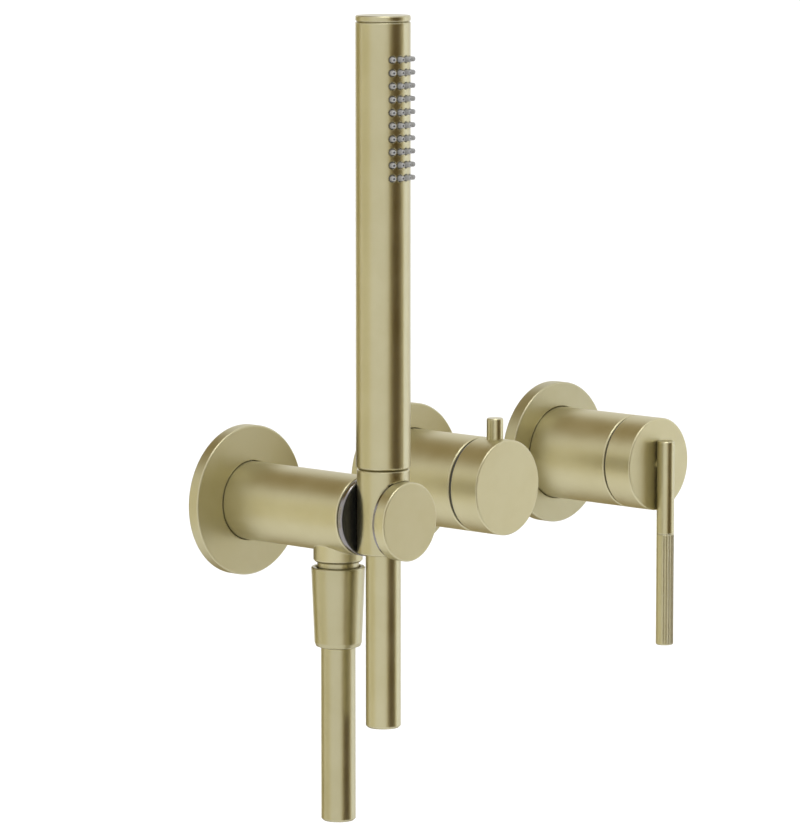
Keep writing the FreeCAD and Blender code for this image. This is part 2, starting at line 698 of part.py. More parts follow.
def nozzle_column(body, corners, axis, cut):
    """Turn one nozzle's outline in the plane of the first column, then repeat it."""
    feature = turned(body, corners, axis=axis, cut=cut)
    sketch = feature.Profile[0]
    sketch.AttachmentOffset = FreeCAD.Placement(
        FreeCAD.Vector(), FreeCAD.Rotation(FreeCAD.Vector(0, 1, 0), -1))
    sketch.setExpression("AttachmentOffset.Rotation.Angle",
                         bound("-(nozzle_columns - 1) * nozzle_angle / 2"))
    rows = body.newObject("PartDesign::LinearPattern", "Rows")
    rows.Direction = (origin_plane(body, "Z_Axis"), [""])
    rows.setExpression("Length", bound("nozzle_pitch * (nozzle_rows - 1)"))
    rows.setExpression("Occurrences", bound("nozzle_rows"))
    columns = body.newObject("PartDesign::PolarPattern", "Columns")
    columns.Axis = (origin_plane(body, "Z_Axis"), [""])
    columns.setExpression("Angle", bound("nozzle_angle * (nozzle_columns - 1)"))
    columns.setExpression("Occurrences", bound("nozzle_columns"))
    pattern = body.newObject("PartDesign::MultiTransform", "Nozzles")
    pattern.Originals = [feature]
    pattern.Transformations = [rows, columns]
    body.Tip = pattern
    check_cut(body, pattern, cut)


# Handset and its hose end
def handset_unit():
    seat = "(holder_top + face_gap)"
    inner = "(handset_dia / 2 - handset_wall)"
    strip_inner = f"({inner} - strip_wall)"
    tube_top = "(handset_top - cap_band - cap_groove)"
    plug_end = f"({tube_top} - cap_plug)"
    connector_top = f"({seat} + connector_len)"
    last_row = "(handset_top - nozzle_drop)"
    first_row = f"({last_row} - nozzle_pitch * (nozzle_rows - 1))"
    strip_top = f"({last_row} + strip_margin)"

    # Tube with a chamfered hole for each nozzle
    tube = nozzle_body("handset_tube")
    turned(tube, [
        (inner, seat),
        ("handset_dia / 2 - handset_chamfer", seat),
        ("handset_dia / 2", f"{seat} + handset_chamfer"),
        ("handset_dia / 2", f"{tube_top} - groove_break"),
        ("handset_dia / 2 - groove_break", tube_top),
        (inner, tube_top),
    ])
    hole_edge = f"({first_row} + nozzle_dia / 2 + nozzle_clear)"
    nozzle_column(tube, [
        (f"{inner} - edge_break", first_row),
        (f"{inner} - edge_break", hole_edge),
        ("handset_dia / 2 - nozzle_sink", hole_edge),
        ("handset_dia / 2 + edge_break", f"{hole_edge} + nozzle_sink + edge_break"),
        ("handset_dia / 2 + edge_break", first_row),
    ], [(inner, first_row), ("handset_dia / 2", first_row)], cut=True)

    # Silicone strip behind the tube's wall, with a nozzle through each hole
    strip = nozzle_body("handset_nozzle_strip")
    arc = turned(strip, ring_outline(strip_inner, inner, f"{first_row} - strip_margin", strip_top))
    arc.Midplane = True
    arc.setExpression("Angle", bound("strip_angle"))
    tip = "(handset_dia / 2 + nozzle_stand)"
    nozzle_column(strip, [
        (f"{strip_inner} + edge_break", first_row),
        (f"{strip_inner} + edge_break", f"{first_row} + nozzle_dia / 2"),
        ("handset_dia / 2", f"{first_row} + nozzle_dia / 2"),
        (f"{tip} - nozzle_round", f"{first_row} + nozzle_tip_dia / 2"),
        (tip, f"{first_row} + nozzle_tip_dia / 2 - nozzle_round"),
        (tip, f"{first_row} + nozzle_jet_dia / 2"),
        (f"{tip} - nozzle_stand", f"{first_row} + nozzle_jet_dia / 2"),
        (f"{tip} - nozzle_stand", first_row),
    ], [(strip_inner, first_row), (tip, first_row)], cut=False)

    # End cap: plug in the tube, thin groove and band
    ring_piece("handset_end_cap", HANDSET, [
        ("0", f"{plug_end} + cap_plug / 2"),
        (f"{inner} - handset_wall", f"{plug_end} + cap_plug / 2"),
        (f"{inner} - handset_wall", plug_end),
        (inner, plug_end),
        (inner, tube_top),
        ("handset_dia / 2 - cap_groove_depth", tube_top),
        ("handset_dia / 2 - cap_groove_depth", f"{tube_top} + cap_groove - groove_break"),
        ("handset_dia / 2 - groove_break", f"{tube_top} + cap_groove - groove_break"),
        ("handset_dia / 2", f"{tube_top} + cap_groove"),
        ("handset_dia / 2", "handset_top - edge_break"),
        ("handset_dia / 2 - edge_break", "handset_top"),
        ("0", "handset_top"),
    ])

    # Connector: plug in the tube's foot with a stem for the hose end's swivel
    stem_end = f"({seat} - connector_stem)"
    clip_height = f"({stem_end} + clip_drop)"
    body = ring_piece("handset_connector", HANDSET, [
        ("connector_bore / 2", stem_end),
        ("connector_stem_dia / 2 - edge_break", stem_end),
        ("connector_stem_dia / 2", f"{stem_end} + edge_break"),
        ("connector_stem_dia / 2", seat),
        (inner, seat),
        (inner, connector_top),
        ("filter_dia / 2", connector_top),
        ("filter_dia / 2", f"{connector_top} - filter_thk"),
        ("connector_bore / 2", f"{connector_top} - filter_thk"),
    ])
    stem_floor = "(connector_stem_dia / 2 - ring_groove)"
    upper_ring = f"({seat} - swivel_ring_drop)"
    ring_heights = [upper_ring, f"({upper_ring} - swivel_ring_pitch)"]
    for middle in ring_heights:
        turned(body, ring_outline(stem_floor, "connector_stem_dia / 2 + edge_break",
                                  f"{middle} - ring_width / 2", f"{middle} + ring_width / 2"), cut=True)
    turned(body, ring_outline(stem_floor, "connector_stem_dia / 2 + edge_break",
                              f"{clip_height} - face_gap", f"{clip_height} + clip_thk + face_gap"), cut=True)
    hose_bore = "(connector_stem_dia / 2 + running_fit)"
    seal_rings("handset_swivel_rings", HANDSET, ring_heights, stem_floor,
               f"{hose_bore} - running_fit / 2")

    body = ring_piece("handset_filter", HANDSET,
                      ring_outline("0", "filter_dia / 2", f"{connector_top} - filter_thk", connector_top))
    sketch, pocket = cut_along(body, "XY_Plane", both_ways=True)
    circle(sketch, ("filter_ring", "0"), "filter_hole / 2")
    check_cut(body, pocket, cut=True)
    pattern = body.newObject("PartDesign::PolarPattern", "Holes")
    pattern.Originals = [pocket]
    pattern.Axis = (origin_plane(body, "Z_Axis"), [""])
    pattern.Angle = 360
    pattern.setExpression("Occurrences", bound("filter_holes"))
    body.Tip = pattern
    doc.recompute()

    # Waterway between connector and end cap, open towards the nozzle strip
    low = connector_top
    high = plug_end
    upper_collar = f"({strip_top} + face_gap)"
    body = ring_piece("handset_waterway", HANDSET, [
        ("waterway_bore / 2", low),
        (f"{inner} - running_fit", low),
        (f"{inner} - running_fit", f"{low} + waterway_collar"),
        (strip_inner, f"{low} + waterway_collar"),
        (strip_inner, upper_collar),
        (f"{inner} - running_fit", upper_collar),
        (f"{inner} - running_fit", high),
        ("waterway_bore / 2", high),
    ])
    collar_floor = f"({inner} - ring_groove)"
    collar_middles = [f"{low} + waterway_collar / 2", f"({upper_collar} + {high}) / 2"]
    for middle in collar_middles:
        turned(body, ring_outline(collar_floor, inner, f"{middle} - ring_width / 2",
                                  f"{middle} + ring_width / 2"), cut=True)
    sketch, pocket = cut_along(body, "XZ_Plane", reverse=True)
    outline(sketch, [
        ("-waterway_slot / 2", first_row),
        ("waterway_slot / 2", first_row),
        ("waterway_slot / 2", last_row),
        ("-waterway_slot / 2", last_row),
    ])
    check_cut(body, pocket, cut=True)
    seal_rings("handset_waterway_rings", HANDSET, collar_middles, collar_floor, inner)

    # Hose end under the handset: sleeve, inner ferrule and snap ring of the swivel
    outer = "handset_hose_dia / 2"
    clip_outer = f"({hose_bore} + ring_groove / 2)"
    ferrule_end = f"({stem_end} - face_gap - handset_ferrule_len)"
    body = ring_piece("handset_hose_sleeve", HANDSET,
                      hose_outline(hose_bore, outer, "-handset_hose_end", ferrule_end,
                                   "holder_top - face_gap"))
    turned(body, ring_outline(f"{hose_bore} - edge_break", clip_outer,
                              clip_height, f"{clip_height} + clip_thk"), cut=True)
    ring_piece("handset_swivel_clip", HANDSET,
               ring_outline(f"{stem_floor} + running_fit", clip_outer,
                            clip_height, f"{clip_height} + clip_thk"))
    ring_piece("handset_hose_ferrule", HANDSET,
               ring_outline("ferrule_bore / 2", hose_bore, ferrule_end, f"{stem_end} - face_gap"))


# Fixed side of a valve: barrel in the wall, cartridge and cover sleeve
def valve_unit(unit, base, split, split_gap):
    rosette(unit, base, "valve_rosette_thk", "sleeve_dia")
    cavity = "cartridge_dia / 2"
    sleeve_inner = "(sleeve_dia / 2 - sleeve_wall)"
    ring_floor = "(barrel_dia / 2 - ring_groove)"
    half_groove = "((barrel_gap + ring_groove) / 2 + face_gap)"
    barrel_end = f"({split} - sleeve_front - barrel_room)"
    nut_end = f"({barrel_end} - barrel_lip)"
    cartridge_end = f"({nut_end} - ring_nut)"
    body = new_body(f"{unit}_barrel", base, out_of_wall=True)
    turned(body, [
        ("barrel_port / 2", "-barrel_thread_len"),
        ("barrel_thread_dia / 2 - edge_break", "-barrel_thread_len"),
        ("barrel_thread_dia / 2", "edge_break - barrel_thread_len"),
        ("barrel_thread_dia / 2", "barrel_shoulder"),
        ("barrel_dia / 2", "barrel_shoulder"),
        ("barrel_dia / 2", barrel_end),
        (cavity, barrel_end),
        (cavity, "barrel_floor"),
        ("barrel_port / 2", "barrel_floor"),
    ])
    heights = ["sleeve_ring_rear", f"({barrel_end} - sleeve_ring_step)"]
    for middle in heights:
        turned(body, ring_outline(ring_floor, "barrel_dia / 2 + edge_break",
                                  f"{middle} - {half_groove}", f"{middle} + {half_groove}"), cut=True)
    seal_rings(f"{unit}_sleeve_rings", base, heights, ring_floor, sleeve_inner, out_of_wall=True)

    # Cartridge and the ring nut that holds it
    stem_hole = "(spindle_dia / 2 + running_fit)"
    ring_piece(f"{unit}_cartridge", base, [
        ("0", "barrel_floor"),
        (cavity, "barrel_floor"),
        (cavity, cartridge_end),
        (stem_hole, cartridge_end),
        (stem_hole, "spindle_root"),
        ("0", "spindle_root"),
    ], out_of_wall=True)
    ring_piece(f"{unit}_ring_nut", base,
               ring_outline(f"({cavity} - ring_nut_wall)", cavity, cartridge_end, nut_end),
               out_of_wall=True)

    # Cover sleeve with a closed front, a groove for the glide ring and a hole for the hub
    glide_foot = f"({split} - glide_sink)"
    ring_piece(f"{unit}_sleeve", base, [
        (sleeve_inner, "face_gap"),
        ("sleeve_dia / 2", "face_gap"),
        ("sleeve_dia / 2", f"{split} - edge_break"),
        ("sleeve_dia / 2 - edge_break", split),
        ("glide_dia / 2", split),
        ("glide_dia / 2", glide_foot),
        ("glide_bore / 2", glide_foot),
        ("glide_bore / 2", split),
        ("sleeve_hole_dia / 2", split),
        ("sleeve_hole_dia / 2", f"{split} - sleeve_front"),
        (sleeve_inner, f"{split} - sleeve_front"),
    ], out_of_wall=True)
    ring_piece(f"{unit}_glide_ring", base,
               ring_outline("glide_bore / 2", "glide_dia / 2", glide_foot,
                            f"{split} + {split_gap} - face_gap"),
               out_of_wall=True)


# Turning side of a valve: spindle, knob or cap, and the screw that locks them together
def turning_unit(unit, base, knob_label, split, split_gap, front):
    rear = f"({split} + {split_gap})"
    middle = f"(({rear} + {front}) / 2)"
    spindle_end = f"({front} - knob_floor)"
    ring_piece(f"{unit}_spindle", base, [
        ("0", "spindle_root + face_gap"),
        ("spindle_dia / 2", "spindle_root + face_gap"),
        ("spindle_dia / 2", f"{spindle_end} - edge_break"),
        ("spindle_dia / 2 - edge_break", spindle_end),
        ("0", spindle_end),
    ], out_of_wall=True)
    knob = ring_piece(knob_label, base, [
        ("spindle_dia / 2", f"{rear} - hub_reach"),
        ("hub_dia / 2", f"{rear} - hub_reach"),
        ("hub_dia / 2", f"{rear} + recess_depth"),
        ("recess_dia / 2", f"{rear} + recess_depth"),
        ("recess_dia / 2", rear),
        ("sleeve_dia / 2 - edge_break", rear),
        ("sleeve_dia / 2", f"{rear} + edge_break"),
        ("sleeve_dia / 2", f"{front} - edge_break"),
        ("sleeve_dia / 2 - edge_break", front),
        ("0", front),
        ("0", spindle_end),
        ("spindle_dia / 2", spindle_end),
    ], out_of_wall=True)
    sketch, pocket = cut_along(knob, "XZ_Plane", reverse=True)
    circle(sketch, ("0", middle), "screw_dia / 2")
    check_cut(knob, pocket, cut=True)
    screw = new_body(f"{unit}_knob_screw", (base[0], f"-{middle}", "0"))
    turned(screw, broken_ring("0", "screw_dia / 2", "-spindle_dia / 2 - screw_len", "-spindle_dia / 2",
                              "edge_break / 2", "edge_break"))
    sketch, pocket = cut_along(screw, "XY_Plane", length="screw_dia / 2", reverse=True,
                               offset="-spindle_dia / 2 - screw_len")
    hexagon(sketch, ("0", "0"), "socket_flats")
    check_cut(screw, pocket, cut=True)
    return knob, middle


def diverter_unit():
    valve_unit("diverter", MIDDLE, "diverter_split", "diverter_split_gap")
    knob, middle = turning_unit("diverter", MIDDLE, "diverter_knob", "diverter_split",
                                "diverter_split_gap", "diverter_front")
    # Hole in the knob's rim for the index pin
    sketch, pocket = cut_along(knob, "XZ_Plane", offset="-pin_root")
    circle(sketch, ("0", middle), "pin_dia / 2")
    check_cut(knob, pocket, cut=True)
    ring_piece("diverter_index_pin", ("0", f"-{middle}", "0"),
               broken_ring("0", "pin_dia / 2", "pin_root", "pin_top"))


def mixer_unit():
    valve_unit("mixer", RIGHT, "mixer_split", "mixer_split_gap")
    cap, middle = turning_unit("mixer", RIGHT, "mixer_cap", "mixer_split", "mixer_split_gap", "mixer_front")
    stud_foot = "(mixer_front - knob_floor + stud_floor)"
    turned(cap, ring_outline("0", "stud_dia / 2", stud_foot, "mixer_front + edge_break"), cut=True)
    lever_dist = "(mixer_front + lever_gap + lever_dia / 2)"
    lever = ("unit_pitch", f"-{lever_dist}", "0")
    grip_top = "(grip_len - lever_drop)"

    # Rod with a thinner core for the grip and a cross hole for the stud
    rod = new_body("lever_rod", lever)
    turned(rod, [
        ("0", "grip_floor - lever_drop"),
        ("core_dia / 2", "grip_floor - lever_drop"),
        ("core_dia / 2", grip_top),
        ("lever_dia / 2", grip_top),
        ("lever_dia / 2", "lever_top - edge_break"),
        ("lever_dia / 2 - edge_break", "lever_top"),
        ("0", "lever_top"),
    ])
    sketch, pocket = cut_along(rod, "XZ_Plane", offset="lever_dia / 2 - stud_wall")
    circle(sketch, ("0", "0"), "stud_dia / 2")
    check_cut(rod, pocket, cut=True)
    ring_piece("lever_stud", RIGHT, broken_ring(
        "0", "stud_dia / 2", stud_foot, f"{lever_dist} + lever_dia / 2 - stud_wall"), out_of_wall=True)

    # Grip with fine flutes on its front, from just below its top edge down to the tip
    grip = new_body("lever_grip", lever)
    turned(grip, [
        ("0", "-lever_drop"),
        ("lever_dia / 2 - edge_break", "-lever_drop"),
        ("lever_dia / 2", "edge_break - lever_drop"),
        ("lever_dia / 2", f"{grip_top} - edge_break / 2"),
        ("lever_dia / 2 - edge_break / 2", grip_top),
        ("core_dia / 2", grip_top),
        ("core_dia / 2", "grip_floor - lever_drop"),
        ("0", "grip_floor - lever_drop"),
    ])
    sketch, pocket = cut_along(grip, "XY_Plane", length="grip_len - flute_margin", reverse=True,
                               offset="-lever_drop")
    first_flute = "((flute_count - 1) / 2 * flute_angle)"
    circle(sketch, (f"-lever_dia / 2 * sin({first_flute})", f"-lever_dia / 2 * cos({first_flute})"),
           "flute_dia / 2")
    check_cut(grip, pocket, cut=True)
    pattern = grip.newObject("PartDesign::PolarPattern", "Flutes")
    pattern.Originals = [pocket]
    pattern.Axis = (origin_plane(grip, "Z_Axis"), [""])
    pattern.setExpression("Angle", bound("flute_angle * (flute_count - 1)"))
    pattern.setExpression("Occurrences", bound("flute_count"))
    grip.Tip = pattern
    doc.recompute()


def check_and_export():
    doc.recompute()
    for item in doc.Objects:
        if "Invalid" in item.State or "Error" in item.State:
            raise RuntimeError(f"{item.Label} failed: {item.State}")
    for part in PARTS:
        if part.Shape.isNull() or not part.Shape.isValid() or not part.Shape.Solids:
            raise RuntimeError(f"{part.Label} has no valid solid")
    for part in PARTS:
        part.Shape.exportStep(f"parts/{part.Label}.step")
        print(part.Label, len(part.Shape.Solids), round(part.Shape.Volume, 1))


outlet_unit()
holder_unit()
handset_unit()
diverter_unit()
mixer_unit()
check_and_export()
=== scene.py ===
"""Looks of the two-outlet shower mixer: satin brass finish, studio light and camera.

Metres throughout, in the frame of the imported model: X along the wall, Y into the wall, Z up.
"""
import math

import bpy
from mathutils import Matrix, Vector


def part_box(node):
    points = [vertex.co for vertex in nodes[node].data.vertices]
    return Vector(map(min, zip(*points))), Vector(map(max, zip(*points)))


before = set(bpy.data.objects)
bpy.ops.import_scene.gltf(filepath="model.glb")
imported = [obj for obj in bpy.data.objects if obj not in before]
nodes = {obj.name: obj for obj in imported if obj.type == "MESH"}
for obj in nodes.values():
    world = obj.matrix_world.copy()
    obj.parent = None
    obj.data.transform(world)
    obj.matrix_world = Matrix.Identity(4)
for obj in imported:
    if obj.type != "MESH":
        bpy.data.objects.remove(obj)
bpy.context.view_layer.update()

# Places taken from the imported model
OUTLET_X = sum(point.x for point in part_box("outlet_rosette")) / 2
MIXER_X = sum(point.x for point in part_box("mixer_rosette")) / 2
HANDSET_Y = sum(point.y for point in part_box("handset_tube")) / 2
SPIGOT_Y = sum(point.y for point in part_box("cone_nut")) / 2
LEVER_Y = sum(point.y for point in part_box("lever_grip")) / 2
PIN_Y = sum(point.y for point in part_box("diverter_index_pin")) / 2
DISC_RADIUS = (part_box("friction_disc")[1].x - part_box("friction_disc")[0].x) / 2

# Axes that pieces are turned round, and a point on each
ALONG_Y, ALONG_Z = 1, 2
OUTLET = (OUTLET_X, 0, 0)
DIVERTER = (0, 0, 0)
MIXER = (MIXER_X, 0, 0)
HANDSET = (OUTLET_X, HANDSET_Y, 0)
SPIGOT = (OUTLET_X, SPIGOT_Y, 0)
LEVER = (MIXER_X, LEVER_Y, 0)
PIN = (0, PIN_Y, 0)

# Sockets of a colour mix, by number because several share each name
MIX_FACTOR, COLOUR_A, COLOUR_B, COLOUR_OUT = 0, 6, 7, 2


# Node helpers
class Nodes:
    """Short calls for the nodes and links of one node tree."""

    def __init__(self, tree):
        self.tree = tree

    def node(self, kind, inputs=None, **settings):
        made = self.tree.nodes.new(kind)
        for key, setting in settings.items():
            setattr(made, key, setting)
        for key, source in (inputs or {}).items():
            self.feed(made.inputs[key], source)
        return made

    def feed(self, socket, source):
        if isinstance(source, bpy.types.NodeSocket):
            self.tree.links.new(source, socket)
        else:
            socket.default_value = source

    def math(self, operation, first, second=0.0):
        return self.node("ShaderNodeMath", {0: first, 1: second}, operation=operation).outputs[0]

    def dot(self, first, second):
        made = self.node("ShaderNodeVectorMath", {0: first, 1: second}, operation="DOT_PRODUCT")
        return made.outputs["Value"]

    def noise(self, vector, scale, detail):
        made = self.node("ShaderNodeTexNoise", {"Vector": vector, "Scale": scale, "Detail": detail})
        return made.outputs["Fac"]

    def ramp(self, factor, low, high, first=0.0, last=1.0):
        """Smooth step of a factor from one level to another."""
        levels = {"Value": factor, "From Min": low, "From Max": high, "To Min": first, "To Max": last}
        return self.node("ShaderNodeMapRange", levels, interpolation_type="SMOOTHSTEP").outputs["Result"]

    def mix(self, factor, first, second):
        made = self.node("ShaderNodeMix", data_type="RGBA")
        self.feed(made.inputs[MIX_FACTOR], factor)
        self.feed(made.inputs[COLOUR_A], first)
        self.feed(made.inputs[COLOUR_B], second)
        return made.outputs[COLOUR_OUT]


ROUNDING_SAMPLES = 6
# Cosines of the lean of a rounded normal, where an edge starts and where it is full
LEAN_STARTS, LEAN_FULL = 0.995, 0.85


class Look(Nodes):
    """One node material."""

    def __init__(self, name):
        self.material = bpy.data.materials.new(name)
        self.material.use_nodes = True
        super().__init__(self.material.node_tree)
        self.shader = self.tree.nodes["Principled BSDF"]

    def place(self):
        return self.node("ShaderNodeTexCoord").outputs["Object"]

    def rounded(self, reach):
        """Normal that rounds off each edge a little."""
        made = self.node("ShaderNodeBevel", {"Radius": reach}, samples=ROUNDING_SAMPLES)
        return made.outputs["Normal"]

    def edges(self, normal):
        """One on an edge, zero on a flat: how far the rounded normal leans from the true one."""
        true = self.node("ShaderNodeNewGeometry").outputs["Normal"]
        return self.ramp(self.dot(normal, true), LEAN_STARTS, LEAN_FULL)

    def bump(self, height, distance, strength, normal=None):
        made = self.node("ShaderNodeBump", {"Height": height, "Distance": distance, "Strength": strength})
        if normal:
            self.feed(made.inputs["Normal"], normal)
        self.feed(self.shader.inputs["Normal"], made.outputs["Normal"])

    def colour(self, source):
        self.feed(self.shader.inputs["Base Color"], source)

    def roughness(self, source):
        self.feed(self.shader.inputs["Roughness"], source)

    def all_metal(self):
        self.shader.inputs["Metallic"].default_value = 1.0

    def matt(self, roughness, specular):
        self.shader.inputs["Roughness"].default_value = roughness
        self.shader.inputs["Specular IOR Level"].default_value = specular


def opaque(colour, gain=1.0, lift=0.0):
    """Colour with its alpha, made brighter by a factor and a step."""
    return tuple(min(1.0, gain * part + lift) for part in colour) + (1,)


def round_axis(look, axis, centre):
    """Radius, height and angle of a point round an axis."""
    place = look.node("ShaderNodeMapping", {"Vector": look.place(), "Location": [-c for c in centre]})
    parts = look.node("ShaderNodeSeparateXYZ", {0: place.outputs[0]})
    across = [parts.outputs[item] for item in range(3) if item != axis]
    squares = [look.math("MULTIPLY", side, side) for side in across]
    radius = look.math("SQRT", look.math("ADD", *squares))
    return radius, parts.outputs[axis], look.math("ARCTAN2", *across)


# Metres that the pattern moves on in one radian: little, so that the lines are long
LINE_STEP = 0.0006


def turned_lines(look, axis, centre, scale):
    """Fine lines that run round an axis."""
    radius, along, angle = round_axis(look, axis, centre)
    step = look.math("MULTIPLY", angle, LINE_STEP)
    lines = look.node("ShaderNodeCombineXYZ", {0: radius, 1: along, 2: step}).outputs["Vector"]
    return look.noise(lines, scale, detail=2.0)


# Levels of a noise, between which it changes a colour or a roughness
COLOUR_LEVELS = 0.30, 0.70
ROUGH_LEVELS = 0.25, 0.75
GRAIN_LEVELS = 0.2, 0.8

# Satin brass: its colours and its pale edge colour (part wear, part painted highlight), how far its edges are
# rounded, how much of that edge colour they take and how they shine, how its cloud and grain change its
# roughness, and the grain's share and depth in the relief
BRASS_DEEP = (0.488, 0.443, 0.268)
BRASS_PALE = (0.520, 0.477, 0.300)
# Pale edge colour: part wear, part painted highlight
BRASS_WEAR_AND_HIGHLIGHT = (0.760, 0.720, 0.560)
EDGE_REACH = 0.0008
EDGE_WEAR_AND_HIGHLIGHT = 0.5
EDGE_SHINE = 0.12
CLOUD_ROUGH = 0.02
GRAIN_ROUGH = 0.05
GRAIN_SHARE = 0.7
GRAIN_DEPTH = 0.000006


def satin_brass(name, axis, centre, painted_light_gain, roughness):
    """Champagne brass with a fine satin grain laid round the piece's own axis, a gain that paints light and
    shade into its colour, and edges paled by wear and painted highlight.
    """
    look = Look(name)
    place = look.place()
    cloud = look.noise(place, scale=55.0, detail=4.0)
    grain = turned_lines(look, axis, centre, scale=5200.0)
    blast = look.noise(place, scale=3800.0, detail=2.0)
    # The gain lightens or darkens the brass colour: painted light and shade
    body = look.mix(look.ramp(cloud, *COLOUR_LEVELS), opaque(BRASS_DEEP, painted_light_gain), opaque(BRASS_PALE, painted_light_gain))
    soft = look.rounded(EDGE_REACH)
    # Rounded edges are paled towards that colour: part wear, part painted highlight
    wear_and_highlight = look.math("MULTIPLY", look.edges(soft), EDGE_WEAR_AND_HIGHLIGHT)
    look.colour(look.mix(wear_and_highlight, body, opaque(BRASS_WEAR_AND_HIGHLIGHT)))
    rough = look.ramp(cloud, *ROUGH_LEVELS, roughness - CLOUD_ROUGH, roughness + CLOUD_ROUGH)
    rough = look.math("ADD", rough, look.math("MULTIPLY", grain, GRAIN_ROUGH))
    rough = look.math("SUBTRACT", rough, look.math("MULTIPLY", wear_and_highlight, EDGE_SHINE))
    look.roughness(rough)
    look.all_metal()
    height = look.math("ADD", look.math("MULTIPLY", grain, GRAIN_SHARE),
                       look.math("MULTIPLY", blast, 1.0 - GRAIN_SHARE))
    look.bump(height, GRAIN_DEPTH, strength=0.5, normal=soft)
    return look.material


# Other finishes: spread of their roughness, and depth of a moulded skin
METAL_SPREAD = 0.06
MOULD_SPREAD = 0.04
FINE_SKIN, COARSE_SKIN = 0.00001, 0.00002


def plain_metal(name, colour, roughness):
    """Turned bare metal."""
    look = Look(name)
    grain = look.noise(look.place(), scale=900.0, detail=3.0)
    look.colour(look.mix(grain, opaque(colour), opaque(colour, gain=1.15)))
    look.roughness(look.ramp(grain, *GRAIN_LEVELS, roughness - METAL_SPREAD, roughness + METAL_SPREAD))
    look.all_metal()
    look.bump(grain, distance=0.00002, strength=0.4)
    return look.material


def moulded(name, colour, roughness, grain, depth=FINE_SKIN):
    """Moulded plastic or rubber: slight mottling and a fine skin."""
    look = Look(name)
    place = look.place()
    skin = look.noise(place, grain, detail=3.0)
    cloud = look.noise(place, scale=120.0, detail=2.0)
    look.colour(look.mix(cloud, opaque(colour), opaque(colour, gain=1.25, lift=0.004)))
    look.roughness(look.ramp(skin, *GRAIN_LEVELS, roughness - MOULD_SPREAD, roughness + MOULD_SPREAD))
    look.bump(skin, depth, strength=0.5)
    return look.material


DISC_BLACK = (0.004, 0.004, 0.004), (0.008, 0.008, 0.008)
DISC_GREY = (0.24, 0.225, 0.22), (0.28, 0.262, 0.255)
DISC_ROUGH = 0.15, 0.21
DISC_ROUNDING = 0.0009
# Distances inside the rim, between which the polish starts and is full
POLISH_STARTS, POLISH_FULL = 0.0006, 0.0002


def black_disc(name, centre, rim):
    """Black moulding whose outer rim is polished to a dark metallic grey."""
    look = Look(name)
    grain = look.noise(look.place(), scale=1500.0, detail=3.0)
    radius = round_axis(look, ALONG_Y, centre)[0]
    polished = look.ramp(radius, rim - POLISH_STARTS, rim - POLISH_FULL)
    black = look.mix(grain, *[opaque(colour) for colour in DISC_BLACK])
    grey = look.mix(grain, *[opaque(colour) for colour in DISC_GREY])
    look.colour(look.mix(polished, black, grey))
    look.feed(look.shader.inputs["Metallic"], polished)
    look.roughness(look.ramp(grain, *GRAIN_LEVELS, *DISC_ROUGH))
    look.bump(grain, distance=0.000002, strength=0.5, normal=look.rounded(DISC_ROUNDING))
    return look.material


def dress(names, material):
    """Give the pieces of these names one material."""
    for name in names:
        for slot in nodes[name].material_slots:
            slot.material = material


# Pieces in satin brass: axis, point on it, gain of painted light and shade on the brass colour, roughness and
# names
# Gains on the brass colour per group: above one is painted light, below one painted shade
OUTLET_LIGHT_GAIN, BODY_LIGHT_GAIN = 1.01, 1.04
PLATE_SHADE_GAIN, MIXER_PLATE_SHADE_GAIN = 0.93, 0.86
HANDSET_SHADE_GAIN, SPIGOT_SHADE_GAIN, LEVER_SHADE_GAIN, PIN_LIGHT_GAIN = 0.92, 0.85, 0.94, 1.0
BODY_ROUGH, TUBE_ROUGH = 0.38, 0.28
IN_BRASS = {
    "outlet": (ALONG_Y, OUTLET, OUTLET_LIGHT_GAIN, BODY_ROUGH, ["outlet_body", "holder_front_cap"]),
    "diverter": (ALONG_Y, DIVERTER, BODY_LIGHT_GAIN, BODY_ROUGH, ["diverter_sleeve", "diverter_knob"]),
    "mixer": (ALONG_Y, MIXER, BODY_LIGHT_GAIN, BODY_ROUGH, ["mixer_sleeve", "mixer_cap"]),
    "outlet_rosette": (ALONG_Y, OUTLET, PLATE_SHADE_GAIN, BODY_ROUGH, ["outlet_rosette"]),
    "diverter_rosette": (ALONG_Y, DIVERTER, PLATE_SHADE_GAIN, BODY_ROUGH, ["diverter_rosette"]),
    "mixer_rosette": (ALONG_Y, MIXER, MIXER_PLATE_SHADE_GAIN, BODY_ROUGH, ["mixer_rosette"]),
    "handset": (ALONG_Z, HANDSET, HANDSET_SHADE_GAIN, TUBE_ROUGH,
                ["handset_tube", "handset_end_cap", "holder_sleeve", "handset_hose_sleeve"]),
    "spigot": (ALONG_Z, SPIGOT, SPIGOT_SHADE_GAIN, TUBE_ROUGH, ["outlet_spigot", "cone_nut", "outlet_hose_sleeve"]),
    "lever": (ALONG_Z, LEVER, LEVER_SHADE_GAIN, TUBE_ROUGH, ["lever_rod", "lever_grip", "lever_stud"]),
    "pin": (ALONG_Z, PIN, PIN_LIGHT_GAIN, TUBE_ROUGH, ["diverter_index_pin"]),
}


def dress_brass_pieces():
    """Each group has a material of its own, as its grain runs round its own axis and its gain paints its own
    light and shade.
    """
    for part, (axis, centre, painted_light_gain, roughness, names) in IN_BRASS.items():
        dress(names, satin_brass("satin_brass_" + part, axis, centre, painted_light_gain, roughness))


